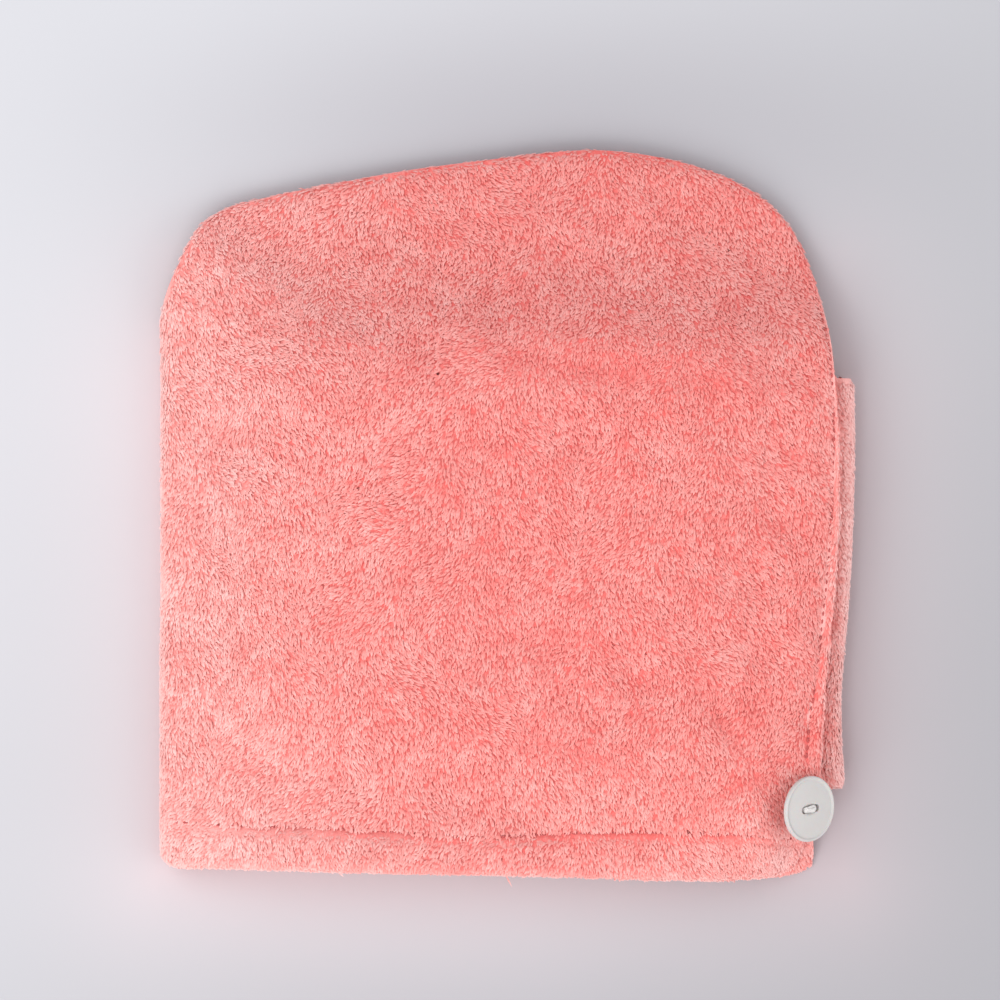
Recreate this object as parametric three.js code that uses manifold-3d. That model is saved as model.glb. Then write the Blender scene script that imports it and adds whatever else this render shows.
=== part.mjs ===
// A towel hair turban of two plush panels, folded flat with its tail tucked under the hood.
// Millimetres, +Z up. The origin is the middle of the footprint, on the surface that it rests on.
// +X points to the back rim with the button, +Y to the crown, -Y to the hem.

import * as THREE from 'three';
import { mergeVertices } from 'three/addons/utils/BufferGeometryUtils.js';
import Module from 'manifold-3d';

const wasm = await Module();
wasm.setup();

// Folded towel
const FOLDED_WIDTH = 237.4; // left fold to right fold
const HOOD_HEIGHT = 249.6; // hem to crown
const HOOD_WIDTH = 231.9; // left fold to back rim
const TAIL_UNDER = 189.7; // right fold to the end of the tail, under the rest
const TAIL_ROUND = 30; // corner radius of the tail's end

// Cloth
const CLOTH = 3; // one panel
const PLY_GAP = 0.6; // between the two panels where they lie flat
const RUN_GAP = 0.8; // between one run of the folded strip and the next
const RIM_ROUND = 3; // how far in a panel's edge is rounded over
const RIM_CLOTH = 0.8; // a panel's thickness at its very edge
const LOFT = 8.4; // extra room inside the hood where it is fullest
const LOFT_REACH = 62; // how far in from a seam the hood is fullest
const MOUTH_LOFT = 14; // extra room inside the hood at the middle of its hem

// How cloth comes down beside a thicker place
const SETTLE = 30; // how far it takes
const TAIL_LIP = 3; // how far past an edge the tail's own cloth stays level
const HOOD_LIP = 7; // how far past an edge the hood's cloth stays level
const CORNER_HOLD = 45; // how far from the left fold the hood's corner is held up
const NAPE_DROOP = 6; // how far the nape hangs down at the back rim, below the tail's corner
const NAPE_WIDTH = 20; // how far in from the back rim it starts to hang

// Hem and seam
const HEM_EXTRA = 1.1; // how much thicker than the cloth the turned hem is
const HEM_FADE = 25; // over this length it thins out before the left fold
const STITCH_WIDTH = 1.6; // the furrow that a row of stitches pulls in
const STITCH_DEPTH = 0.8;
const SEAM_INSET = 3.6; // from the back rim to its row of stitches
const SEAM_DEPTH = 1;

// Button and its thread
const BUTTON_DIAMETER = 22.5;
const BUTTON_THICKNESS = 3.2;
const BUTTON_RIM = 1.2; // width of the raised rim
const BUTTON_RIM_RISE = 0.4; // the rim above the face's edge
const BUTTON_DOME = 0.35; // the face's middle above its edge
const BUTTON_TILT = THREE.MathUtils.degToRad(42); // of its axis from upright
const BUTTON_LEAN = THREE.MathUtils.degToRad(-8); // the way it tilts, from +X
const BUTTON_SINK = 1.2; // how deep it is drawn into the cloth at most
const BUTTON_GAP = 0.3; // between the button and the cloth
const BUTTON_BACK_RISE = 1.6; // how far its back curves up from the flat middle to the edge
const BUTTON_BACK_FLAT = 0.55; // radius of that flat middle, as a share of the button's
const SEAT_BLEND = 10; // how far round the button the cloth is drawn down with it
const EYE_LENGTH = 8.6; // the sunk oval in the middle of the face
const EYE_WIDTH = 4.4;
const EYE_DEPTH = 0.9;
const EYE_TURN = THREE.MathUtils.degToRad(5.6); // of the oval and its holes, on the face
const HOLE_SPACING = 5.4;
const HOLE_DIAMETER = 2.6;
const THREAD_THICKNESS = 1.6;

// Back rim from the nape up to the crown. height is a share of HOOD_HEIGHT. outer and inner are each
// panel's reach from the left fold, as shares of HOOD_WIDTH.
const BACK_RIM = [
  { height: 0.0, outer: 0.925, inner: 0.96 },
  { height: 0.05, outer: 0.949, inner: 0.964 },
  { height: 0.11, outer: 0.967, inner: 0.968 },
  { height: 0.194, outer: 0.975, inner: 0.975 },
  { height: 0.316, outer: 0.985, inner: 0.985 },
  { height: 0.44, outer: 0.998, inner: 0.998 },
  { height: 0.59, outer: 1.0, inner: 1.0 },
  { height: 0.7, outer: 0.993, inner: 0.993 },
  { height: 0.756, outer: 0.986, inner: 0.986 },
  { height: 0.81, outer: 0.969, inner: 0.969 },
  { height: 0.864, outer: 0.948, inner: 0.948 },
  { height: 0.891, outer: 0.932, inner: 0.932 },
  { height: 1.0, outer: 0.932, inner: 0.932 },
];

// Right fold. height is a share of HOOD_HEIGHT, reach from the left fold a share of FOLDED_WIDTH.
const RIGHT_FOLD = [
  { height: 0.1, reach: 0.978 },
  { height: 0.13, reach: 0.985 },
  { height: 0.2, reach: 0.981 },
  { height: 0.26, reach: 0.981 },
  { height: 0.4, reach: 0.993 },
  { height: 0.59, reach: 1.0 },
  { height: 0.7, reach: 0.999 },
];

// The turned hem. at is a share of the hood's width, from the back rim to the left fold.
const HEM = [
  { at: 0.0, width: 13.0 },
  { at: 0.08, width: 13.8 },
  { at: 0.17, width: 15.9 },
  { at: 0.35, width: 15.8 },
  { at: 0.43, width: 14.5 },
  { at: 0.52, width: 13.4 },
  { at: 0.61, width: 13.8 },
  { at: 0.8, width: 14.9 },
  { at: 1.0, width: 15.6 },
];

// The strip's two long edges, from the back rim to the end of the tail. at is a share of its part's
// length, top and bottom are shares of HOOD_HEIGHT.
const EDGES = [
  { part: 'hood', at: 0.0, top: 0.891, bottom: 0.02 },
  { part: 'hood', at: 0.023, top: 0.919, bottom: 0.007 },
  { part: 'hood', at: 0.07, top: 0.948, bottom: 0.002 },
  { part: 'hood', at: 0.15, top: 0.976, bottom: 0.0 },
  { part: 'hood', at: 0.28, top: 0.998, bottom: 0.002 },
  { part: 'hood', at: 0.35, top: 1.0, bottom: 0.004 },
  { part: 'hood', at: 0.48, top: 0.988, bottom: 0.008 },
  { part: 'hood', at: 0.64, top: 0.971, bottom: 0.01 },
  { part: 'hood', at: 0.74, top: 0.955, bottom: 0.012 },
  { part: 'hood', at: 0.87, top: 0.933, bottom: 0.015 },
  { part: 'hood', at: 0.935, top: 0.917, bottom: 0.016 },
  { part: 'hood', at: 0.967, top: 0.898, bottom: 0.016 },
  { part: 'left_fold', at: 0.0, top: 0.848, bottom: 0.016 },
  { part: 'left_fold', at: 0.25, top: 0.812, bottom: 0.021 },
  { part: 'left_fold', at: 0.5, top: 0.775, bottom: 0.03 },
  { part: 'left_fold', at: 0.75, top: 0.754, bottom: 0.021 },
  { part: 'left_fold', at: 1.0, top: 0.738, bottom: 0.016 },
  { part: 'lower_run', at: 0.06, top: 0.714, bottom: 0.017 },
  { part: 'lower_run', at: 0.15, top: 0.704, bottom: 0.02 },
  { part: 'lower_run', at: 0.5, top: 0.7, bottom: 0.06 },
  { part: 'lower_run', at: 0.85, top: 0.692, bottom: 0.108 },
  { part: 'right_fold', at: 0.0, top: 0.688, bottom: 0.125 },
  { part: 'right_fold', at: 1.0, top: 0.688, bottom: 0.125 },
  { part: 'end_run', at: 0.3, top: 0.69, bottom: 0.19 },
  { part: 'end_run', at: 0.6, top: 0.687, bottom: 0.235 },
  { part: 'end_run', at: 0.85, top: 0.675, bottom: 0.262 },
  { part: 'end_run', at: 1.0, top: 0.665, bottom: 0.275 },
];

// Folds and dents of the hood's top, each a straight line that fades out at both sides. from and to
// are shares of HOOD_WIDTH and HOOD_HEIGHT, spread a share of HOOD_WIDTH, rise a share of LOFT.
const CREASES = [
  { from: [0.49, 0.148], to: [0.69, 0.238], spread: 0.028, rise: -0.16 },
  { from: [0.7, 0.128], to: [0.845, 0.225], spread: 0.024, rise: -0.2 },
  { from: [0.845, 0.225], to: [0.87, 0.33], spread: 0.03, rise: -0.14 },
  { from: [0.77, 0.11], to: [0.89, 0.172], spread: 0.022, rise: -0.2 },
  { from: [0.64, 0.145], to: [0.785, 0.235], spread: 0.034, rise: 0.16 },
  { from: [0.8, 0.135], to: [0.875, 0.195], spread: 0.022, rise: 0.18 },
  { from: [0.925, 0.27], to: [0.93, 0.41], spread: 0.022, rise: 0.16 },
  { from: [0.895, 0.33], to: [0.905, 0.62], spread: 0.03, rise: -0.16 },
  { from: [0.08, 0.54], to: [0.12, 0.66], spread: 0.05, rise: -0.2 },
  { from: [0.135, 0.17], to: [0.155, 0.24], spread: 0.045, rise: -0.2 },
  { from: [0.27, 0.34], to: [0.29, 0.38], spread: 0.05, rise: -0.08 },
  { from: [0.88, 0.075], to: [0.895, 0.15], spread: 0.05, rise: 0.3 },
];

// Place of the button's middle, as shares of HOOD_WIDTH and HOOD_HEIGHT
const BUTTON_ACROSS = 0.945;
const BUTTON_UP = 0.101;

// How finely the panels are drawn
const FOLD_STEPS = 6;
const COLUMNS_BETWEEN = 13; // lines along the strip between its hem and its upper seam
const CROWDING = 1.25; // above 1 they are closer together near the hem
const ROUND_SIDES = 24;
const THREAD_SIDES = 6;
const THREAD_STEPS = 10;

// Worked out from the sizes above
const LEFT = -FOLDED_WIDTH / 2;
const BOTTOM = -HOOD_HEIGHT / 2;
const PITCH = 2 * CLOTH + PLY_GAP + RUN_GAP; // from one run of two panels to the next
const MIDDLE = CLOTH + PLY_GAP / 2; // from a run's underside to the middle of its gap
const FOLD_RADIUS = PITCH / 2;
const LEFT_AXIS = LEFT + FOLD_RADIUS + MIDDLE;
const TAIL_TIP = FOLDED_WIDTH / 2 - TAIL_UNDER;

const PARTS = ['hood', 'left_fold', 'lower_run', 'right_fold', 'end_run'];

const { smoothstep, clamp, lerp } = THREE.MathUtils;

// Smooth curve through one column of a table, read at a value of its key column.
function readTable(rows, key, column) {
  const keys = rows.map((row) => row[key]);
  const values = rows.map((row) => row[column]);
  const curve = new THREE.CubicInterpolant(keys, values, 1, [0]);
  return (at) => curve.evaluate(at)[0];
}

const heightAt = (share) => BOTTOM + share * HOOD_HEIGHT;
const shareAt = (y) => (y - BOTTOM) / HOOD_HEIGHT;

const readOuterRim = readTable(BACK_RIM, 'height', 'outer');
const readInnerRim = readTable(BACK_RIM, 'height', 'inner');
const readRightFold = readTable(RIGHT_FOLD, 'height', 'reach');

const outerRim = (y) => LEFT + HOOD_WIDTH * readOuterRim(shareAt(y));
const innerRim = (y) => LEFT + HOOD_WIDTH * readInnerRim(shareAt(y));
const rightEdge = (y) => LEFT + FOLDED_WIDTH * readRightFold(shareAt(y));
const rightAxis = (y) => rightEdge(y) - FOLD_RADIUS - MIDDLE;

// Lengths of the strip's parts along its middle, and where each one starts
const hoodLength = LEFT + HOOD_WIDTH - LEFT_AXIS;
const foldLength = Math.PI * FOLD_RADIUS;
const lowerLength = FOLDED_WIDTH - 2 * (FOLD_RADIUS + MIDDLE);
const endLength = TAIL_UNDER - FOLD_RADIUS - MIDDLE;
const lengths = [hoodLength, foldLength, lowerLength, foldLength, endLength];

function pathAt(part, at) {
  const index = PARTS.indexOf(part);
  const start = lengths.slice(0, index).reduce((sum, length) => sum + length, 0);
  return start + at * lengths[index];
}

const edgeRows = EDGES.map((row) => ({ path: pathAt(row.part, row.at), top: row.top, bottom: row.bottom }));
const readTop = readTable(edgeRows, 'path', 'top');
const readBottom = readTable(edgeRows, 'path', 'bottom');
const readHem = readTable(HEM, 'at', 'width');
const hemWidthAt = (path) => readHem(clamp(path / hoodLength, 0, 1));
const stripLength = pathAt('end_run', 1);

// How far the tail's rounded end draws its edges in, at a distance from the tip.
function endRounding(path) {
  const fromTip = clamp(stripLength - path, 0, TAIL_ROUND);
  return TAIL_ROUND - Math.sqrt(TAIL_ROUND ** 2 - (TAIL_ROUND - fromTip) ** 2);
}

// The strip's lower and upper edge at a place along it, before the tail's end is rounded.
function edgesAt(path) {
  return { bottom: heightAt(readBottom(path)), top: heightAt(readTop(path)) };
}

// How far a point of the plan lies outside a run, whose edges are read at the point's own x.
function outside(x, y, left, right, edges) {
  const aside = Math.max(left - x, x - right, 0);
  const beyond = Math.max(edges.bottom - y, y - edges.top, 0);
  return Math.hypot(aside, beyond);
}

function outsideLowerRun(x, y) {
  const at = clamp((x - LEFT_AXIS) / lowerLength, 0, 1);
  const edges = edgesAt(pathAt('lower_run', at));
  const cornerTop = heightAt(readTop(pathAt('left_fold', 0.25)));
  const held = 1 - smoothstep(x, LEFT_AXIS, LEFT_AXIS + CORNER_HOLD);
  edges.top = lerp(edges.top, cornerTop, held);
  return outside(x, y, LEFT, rightEdge(y), edges);
}

function outsideEndRun(x, y) {
  const at = clamp((LEFT_AXIS + lowerLength - x) / endLength, 0, 1);
  return outside(x, y, TAIL_TIP, rightEdge(y), edgesAt(pathAt('end_run', at)));
}

const raised = (away, lip) => PITCH * (1 - smoothstep(away, lip, lip + SETTLE));

// Underside of the lower run and of the hood: each lies on what is under it.
const lowerBase = (x, y) => raised(outsideEndRun(x, y), TAIL_LIP);

function hoodBase(x, y) {
  const past = heightAt(readBottom(pathAt('right_fold', 0))) - y;
  const below = smoothstep(past, 0, SETTLE / 3);
  const droop = NAPE_DROOP * below * smoothstep(x, innerRim(y) - NAPE_WIDTH, innerRim(y));
  const rest = raised(outsideLowerRun(x, y), HOOD_LIP) + raised(outsideEndRun(x, y), HOOD_LIP);
  return Math.max(rest - droop, 0);
}

// Share of the full room inside the hood, from nothing at a seam.
const fullness = (inset) => Math.sin(clamp(inset / LOFT_REACH, 0, 1) * Math.PI / 2);

function roomAt(point) {
  const open = lerp(MOUTH_LOFT, LOFT, smoothstep(point.fromBottom, 0, LOFT_REACH));
  return open * fullness(point.fromBack) * fullness(point.fromTop) * fullness(point.x - LEFT_AXIS);
}

// Height that the folds and dents add to the hood's top.
function reliefAt(x, y) {
  const place = new THREE.Vector3(x, y, 0);
  const nearest = new THREE.Vector3();
  let relief = 0;
  for (const crease of CREASES) {
    const ends = [crease.from, crease.to].map(
      (end) => new THREE.Vector3(LEFT + end[0] * HOOD_WIDTH, heightAt(end[1]), 0),
    );
    new THREE.Line3(ends[0], ends[1]).closestPointToPoint(place, true, nearest);
    const away = place.distanceTo(nearest) / (crease.spread * HOOD_WIDTH);
    relief += crease.rise * LOFT * Math.exp(-away * away);
  }
  return relief;
}

// Thickness of a panel, rounded over towards its edge.
function clothAt(inset) {
  const share = 1 - clamp(inset / RIM_ROUND, 0, 1);
  return Math.max(RIM_CLOTH, CLOTH * Math.sqrt(1 - share * share));
}

const furrow = (away) => Math.exp(-((away / STITCH_WIDTH) ** 2));

// Lines across the strip, each with its part and its share of that part's length
function stationList() {
  const rimInsets = [0, 0.25, 0.65, SEAM_INSET / RIM_ROUND].map((share) => (share * RIM_ROUND) / hoodLength);
  const hoodShares = rimInsets.concat(
    [0.045, 0.078, 0.111, 0.144, 0.177, 0.21, 0.243, 0.28, 0.32, 0.37],
    [0.43, 0.5, 0.57, 0.64, 0.71, 0.77, 0.83, 0.88, 0.92, 0.955, 0.98],
  );
  const stations = hoodShares.map((at) => ({ part: 'hood', at }));
  for (let step = 0; step <= FOLD_STEPS; step++) {
    stations.push({ part: 'left_fold', at: step / FOLD_STEPS });
  }
  for (const at of [0.05, 0.11, 0.17, 0.23, 0.34, 0.5, 0.66, 0.82]) {
    stations.push({ part: 'lower_run', at });
  }
  for (let step = 0; step <= FOLD_STEPS; step++) {
    stations.push({ part: 'right_fold', at: step / FOLD_STEPS });
  }
  const tipShares = [TAIL_ROUND * 0.5, TAIL_ROUND * 0.2, RIM_ROUND, RIM_ROUND * 0.3, 0];
  for (const at of [0.2, 0.4, 0.6].concat(tipShares.map((inset) => 1 - inset / endLength))) {
    stations.push({ part: 'end_run', at });
  }
  return stations;
}

// Distances from the strip's lower edge at which its lines along run.
function columnInsets(height, hemWidth) {
  const squeeze = Math.min(1, height / (HOOD_HEIGHT / 2));
  const hemInsets = [0, 0.25 * RIM_ROUND, 0.65 * RIM_ROUND, 1.5 * RIM_ROUND, hemWidth - STITCH_WIDTH];
  hemInsets.push(hemWidth, hemWidth + STITCH_WIDTH);
  const topInsets = [2.5 * RIM_ROUND, SEAM_INSET, 0.65 * RIM_ROUND, 0.25 * RIM_ROUND, 0];
  const first = hemInsets.at(-1) * squeeze;
  const last = height - topInsets[0] * squeeze;
  const insets = hemInsets.map((inset) => inset * squeeze);
  for (let step = 1; step <= COLUMNS_BETWEEN; step++) {
    insets.push(lerp(first, last, (step / (COLUMNS_BETWEEN + 1)) ** CROWDING));
  }
  return insets.concat(topInsets.map((inset) => height - inset * squeeze));
}

// Where the middle of the strip's gap lies at a station and a height, and which way the outer
// panel lies from it.
function middleAt(station, y, isOuter) {
  const turn = station.at * Math.PI;
  if (station.part === 'hood') {
    const share = 1 - station.at;
    const setBack = isOuter ? (innerRim(y) - outerRim(y)) * share ** 8 : 0;
    const x = LEFT_AXIS + share * (innerRim(y) - LEFT_AXIS) - setBack;
    return { x, z: hoodBase(x, y) + MIDDLE, outX: 0, outZ: 1 };
  }
  if (station.part === 'left_fold') {
    const axisZ = lowerBase(LEFT_AXIS, y) + MIDDLE + FOLD_RADIUS;
    const [outX, outZ] = [-Math.sin(turn), Math.cos(turn)];
    return { x: LEFT_AXIS + FOLD_RADIUS * outX, z: axisZ + FOLD_RADIUS * outZ, outX, outZ };
  }
  if (station.part === 'lower_run') {
    const x = lerp(LEFT_AXIS, rightAxis(y), station.at);
    return { x, z: lowerBase(x, y) + MIDDLE, outX: 0, outZ: -1 };
  }
  if (station.part === 'right_fold') {
    const [outX, outZ] = [-Math.sin(turn), -Math.cos(turn)];
    const axisZ = MIDDLE + FOLD_RADIUS;
    return { x: rightAxis(y) - FOLD_RADIUS * outX, z: axisZ - FOLD_RADIUS * outZ, outX, outZ };
  }
  return { x: lerp(rightAxis(y), TAIL_TIP, station.at), z: MIDDLE, outX: 0, outZ: 1 };
}

// The plane that the button's back lies on, and the height of that plane over a point of the plan.
const buttonAxis = new THREE.Vector3(
  Math.sin(BUTTON_TILT) * Math.cos(BUTTON_LEAN),
  Math.sin(BUTTON_TILT) * Math.sin(BUTTON_LEAN),
  Math.cos(BUTTON_TILT),
);
const buttonX = LEFT + BUTTON_ACROSS * HOOD_WIDTH;
const buttonY = heightAt(BUTTON_UP);

// Distances of a point of the plan from the hood's edges.
function hoodPoint(x, y) {
  const at = 1 - (x - LEFT_AXIS) / (innerRim(y) - LEFT_AXIS);
  const edges = edgesAt(pathAt('hood', clamp(at, 0, 1)));
  return { x, fromBack: outerRim(y) - x, fromBottom: y - edges.bottom, fromTop: edges.top - y };
}

// Top of the hood's cloth, before its folds and dents.
function hoodTop(x, y) {
  const point = hoodPoint(x, y);
  const cloth = clothAt(Math.min(point.fromBack, point.fromTop, point.fromBottom));
  return hoodBase(x, y) + MIDDLE + (PLY_GAP + CLOTH + cloth) / 2 + roomAt(point);
}

// How far the button's back curves up from its flat middle at a share of its radius.
function backRise(share) {
  const past = clamp((share - BUTTON_BACK_FLAT) / (1 - BUTTON_BACK_FLAT), 0, 1);
  return BUTTON_BACK_RISE * past ** 2;
}

// How far the button's back falls from its middle to a point of the plan.
function seatFall(x, y) {
  const slope = ((x - buttonX) * buttonAxis.x + (y - buttonY) * buttonAxis.y) / buttonAxis.z;
  const share = Math.hypot((x - buttonX) / buttonAxis.z, y - buttonY) / (BUTTON_DIAMETER / 2);
  return slope - backRise(share) / buttonAxis.z;
}

// The lowest seat that draws the button nowhere deeper into the cloth than it may go.
function seatHeight() {
  const radius = BUTTON_DIAMETER / 2;
  let highest = -Infinity;
  for (let x = buttonX - radius; x < buttonX + radius; x += RIM_ROUND / 4) {
    for (let y = buttonY - radius; y < buttonY + radius; y += RIM_ROUND / 2) {
      const along = (x - buttonX) / buttonAxis.z;
      if (Math.hypot(along, y - buttonY) < radius && x < outerRim(y)) {
        highest = Math.max(highest, hoodTop(x, y) - BUTTON_SINK + seatFall(x, y));
      }
    }
  }
  return highest;
}

const seatMiddle = seatHeight();
const seatAt = (x, y) => seatMiddle - seatFall(x, y);

// Distances from the middle of the gap to a panel's near and far face.
function outerFaces(station, point, y) {
  const cloth = clothAt(Math.min(point.fromBack, point.fromTop, point.fromBottom, point.fromTip));
  const centre = PLY_GAP / 2 + CLOTH / 2;
  if (station.part !== 'hood') {
    return [centre - cloth / 2, centre + cloth / 2];
  }
  const room = roomAt(point);
  const relief = reliefAt(point.x, y) * fullness(3 * point.fromBack) * fullness(3 * (point.x - LEFT_AXIS));
  const fade = smoothstep(point.x, LEFT_AXIS, LEFT_AXIS + HEM_FADE);
  const fromStitches = point.fromBottom - point.hemWidth;
  const band = 1 - smoothstep(fromStitches, 0, STITCH_WIDTH);
  const hem = fade * (HEM_EXTRA * band * (cloth / CLOTH) - STITCH_DEPTH * furrow(fromStitches));
  const seamFade = 1 - smoothstep(shareAt(y), 0.5, 0.8);
  const seam = seamFade * SEAM_DEPTH * furrow(point.fromBack - SEAM_INSET);
  const near = centre - cloth / 2 + Math.max(room + Math.min(relief, room), 0);
  const far = centre + cloth / 2 + Math.max(room + relief, 0) + hem - seam;
  const seat = seatAt(point.x, y) - hoodBase(point.x, y) - MIDDLE;
  const fromButton = Math.hypot(point.x - buttonX, y - buttonY) - BUTTON_DIAMETER / 2;
  const limit = fromButton < SEAT_BLEND ? seat + Math.max(fromButton, 0) / SEAT_BLEND : Infinity;
  return [near, Math.max(Math.min(far, limit), near + RIM_CLOTH)];
}

function innerFaces(station, point) {
  const cloth = clothAt(Math.min(point.fromBack, point.fromTop, point.fromBottom, point.fromTip));
  const centre = PLY_GAP / 2 + CLOTH / 2;
  let hem = 0;
  if (station.part === 'hood') {
    const band = 1 - smoothstep(point.fromBottom - point.hemWidth, 0, STITCH_WIDTH);
    hem = band * Math.min(HEM_EXTRA, roomAt(point) / 3) * (cloth / CLOTH);
  }
  return [-(centre - cloth / 2) + hem, -(centre + cloth / 2)];
}

// Closed wall of cloth: a near and a far face over the same net of points, joined along the rim.
function panelGeometry(isOuter) {
  const stations = stationList();
  const near = [];
  const far = [];
  for (const station of stations) {
    const path = pathAt(station.part, station.at);
    const edges = edgesAt(path);
    const bottom = edges.bottom + endRounding(path);
    const top = edges.top - endRounding(path);
    const hemWidth = hemWidthAt(path);
    for (const inset of columnInsets(top - bottom, hemWidth)) {
      const y = bottom + inset;
      const middle = middleAt(station, y, isOuter);
      const point = {
        x: middle.x,
        fromBack: path,
        fromTip: stripLength - path,
        fromBottom: inset,
        fromTop: top - y,
        hemWidth,
      };
      const faces = isOuter ? outerFaces(station, point, y) : innerFaces(station, point);
      near.push(middle.x + faces[0] * middle.outX, y, middle.z + faces[0] * middle.outZ);
      far.push(middle.x + faces[1] * middle.outX, y, middle.z + faces[1] * middle.outZ);
    }
  }
  const columns = columnInsets(HOOD_HEIGHT, HEM[0].width).length;
  const layer = stations.length * columns;
  const index = [];
  const quad = (a, b, c, d) => index.push(a, b, c, a, c, d);
  for (let row = 0; row + 1 < stations.length; row++) {
    for (let column = 0; column + 1 < columns; column++) {
      const a = row * columns + column;
      quad(a, a + 1, a + 1 + columns, a + columns);
      quad(layer + a, layer + a + columns, layer + a + 1 + columns, layer + a + 1);
    }
  }
  const rim = [];
  for (let row = 0; row < stations.length; row++) {
    rim.push(row * columns);
  }
  for (let column = 1; column < columns; column++) {
    rim.push((stations.length - 1) * columns + column);
  }
  for (let row = stations.length - 2; row >= 0; row--) {
    rim.push(row * columns + columns - 1);
  }
  for (let column = columns - 2; column > 0; column--) {
    rim.push(column);
  }
  rim.forEach((from, place) => {
    const to = rim[(place + 1) % rim.length];
    quad(from, to, layer + to, layer + from);
  });
  if (isOuter) {
    for (let corner = 0; corner < index.length; corner += 3) {
      [index[corner + 1], index[corner + 2]] = [index[corner + 2], index[corner + 1]];
    }
  }
  const geometry = new THREE.BufferGeometry();
  geometry.setAttribute('position', new THREE.Float32BufferAttribute(near.concat(far), 3));
  geometry.setIndex(index);
  geometry.computeVertexNormals();
  return geometry;
}

// Solid for cutting, from a closed geometry.
function solidFrom(geometry) {
  const bare = geometry.clone();
  bare.deleteAttribute('normal');
  bare.deleteAttribute('uv');
  const merged = mergeVertices(bare);
  const vertProperties = new Float32Array(merged.attributes.position.array);
  const triVerts = new Uint32Array(merged.index.array);
  return new wasm.Manifold(new wasm.Mesh({ numProp: 3, vertProperties, triVerts }));
}

function geometryFrom(solid) {
  const mesh = solid.getMesh();
  const geometry = new THREE.BufferGeometry();
  geometry.setAttribute('position', new THREE.BufferAttribute(mesh.vertProperties, 3));
  geometry.setIndex(new THREE.BufferAttribute(mesh.triVerts, 1));
  geometry.computeVertexNormals();
  return geometry;
}

// Round button on its own axis, its back at zero.
function buttonGeometry() {
  const radius = BUTTON_DIAMETER / 2;
  const faceRadius = radius - BUTTON_RIM;
  const face = BUTTON_THICKNESS - BUTTON_RIM_RISE;
  const profile = [
    [0, 0],
    ...[BUTTON_BACK_FLAT, 0.7, 0.85, 0.95].map((share) => [share * radius, backRise(share)]),
    [radius, (BUTTON_BACK_RISE + BUTTON_THICKNESS) / 2],
    [radius - 0.15 * BUTTON_RIM, BUTTON_THICKNESS - 0.3 * BUTTON_RIM_RISE],
    [radius - 0.45 * BUTTON_RIM, BUTTON_THICKNESS],
    [faceRadius, face],
    [faceRadius / 2, face + BUTTON_DOME * 0.75],
    [0, face + BUTTON_DOME],
  ].map(([x, y]) => new THREE.Vector2(x, y));
  const disc = new THREE.LatheGeometry(profile, ROUND_SIDES);
  disc.rotateX(Math.PI / 2);
  const eye = new THREE.SphereGeometry(1, ROUND_SIDES / 2, ROUND_SIDES / 4);
  eye.scale(EYE_LENGTH / 2, EYE_WIDTH / 2, EYE_DEPTH);
  eye.translate(0, 0, face + BUTTON_DOME);
  let solid = solidFrom(disc).subtract(solidFrom(eye));
  for (const side of [-1, 1]) {
    const drill = new THREE.CylinderGeometry(
      HOLE_DIAMETER / 2, HOLE_DIAMETER / 2, 3 * BUTTON_THICKNESS, ROUND_SIDES / 2,
    );
    drill.rotateX(Math.PI / 2);
    drill.translate((side * HOLE_SPACING) / 2, 0, 0);
    solid = solid.subtract(solidFrom(drill));
  }
  return geometryFrom(solid).rotateZ(EYE_TURN);
}

// Thread up through one hole, over the bridge and down through the other.
function threadGeometry() {
  const floor = BUTTON_THICKNESS - BUTTON_RIM_RISE + BUTTON_DOME - EYE_DEPTH;
  const over = floor + BUTTON_GAP + THREAD_THICKNESS / 2;
  const across = HOLE_SPACING / 2;
  const bend = THREAD_THICKNESS * 0.6;
  const route = new THREE.CatmullRomCurve3([
    new THREE.Vector3(-across, 0, 0),
    new THREE.Vector3(-across, 0, over - bend),
    new THREE.Vector3(-across + bend, 0, over),
    new THREE.Vector3(across - bend, 0, over),
    new THREE.Vector3(across, 0, over - bend),
    new THREE.Vector3(across, 0, 0),
  ]);
  const section = new THREE.Shape().absarc(0, 0, THREAD_THICKNESS / 2, 0, 2 * Math.PI);
  return new THREE.ExtrudeGeometry(section, {
    steps: THREAD_STEPS,
    curveSegments: THREAD_SIDES,
    bevelEnabled: false,
    extrudePath: route,
  }).rotateZ(EYE_TURN);
}

function cloth(colour) {
  return new THREE.MeshStandardMaterial({ color: colour, roughness: 0.95, metalness: 0, side: THREE.FrontSide });
}

const turban = new THREE.Group();

const outerPanel = new THREE.Mesh(panelGeometry(true), cloth(0xef9994));
outerPanel.name = 'outer_panel';
turban.add(outerPanel);

const innerPanel = new THREE.Mesh(panelGeometry(false), cloth(0xe48d89));
innerPanel.name = 'inner_panel';
turban.add(innerPanel);

const fastening = new THREE.Group();
fastening.quaternion.setFromUnitVectors(new THREE.Vector3(0, 0, 1), buttonAxis);
fastening.position.set(buttonX, buttonY, seatAt(buttonX, buttonY));
fastening.position.addScaledVector(buttonAxis, BUTTON_GAP);
turban.add(fastening);

const button = new THREE.Mesh(
  buttonGeometry(),
  new THREE.MeshStandardMaterial({ color: 0xe9e4e0, roughness: 0.35, metalness: 0 }),
);
button.name = 'button';
fastening.add(button);

const thread = new THREE.Mesh(
  threadGeometry(),
  new THREE.MeshStandardMaterial({ color: 0xf0ece8, roughness: 0.8, metalness: 0 }),
);
thread.name = 'button_thread';
fastening.add(thread);

export default turban;
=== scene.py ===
"""A plush towel hair turban, folded flat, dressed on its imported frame."""

import logging
import math
from dataclasses import dataclass, field
from enum import Enum
from typing import Any, Sequence

import bmesh
import bpy
import numpy as np
from mathutils import Matrix, Vector
from mathutils.bvhtree import BVHTree


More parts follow.
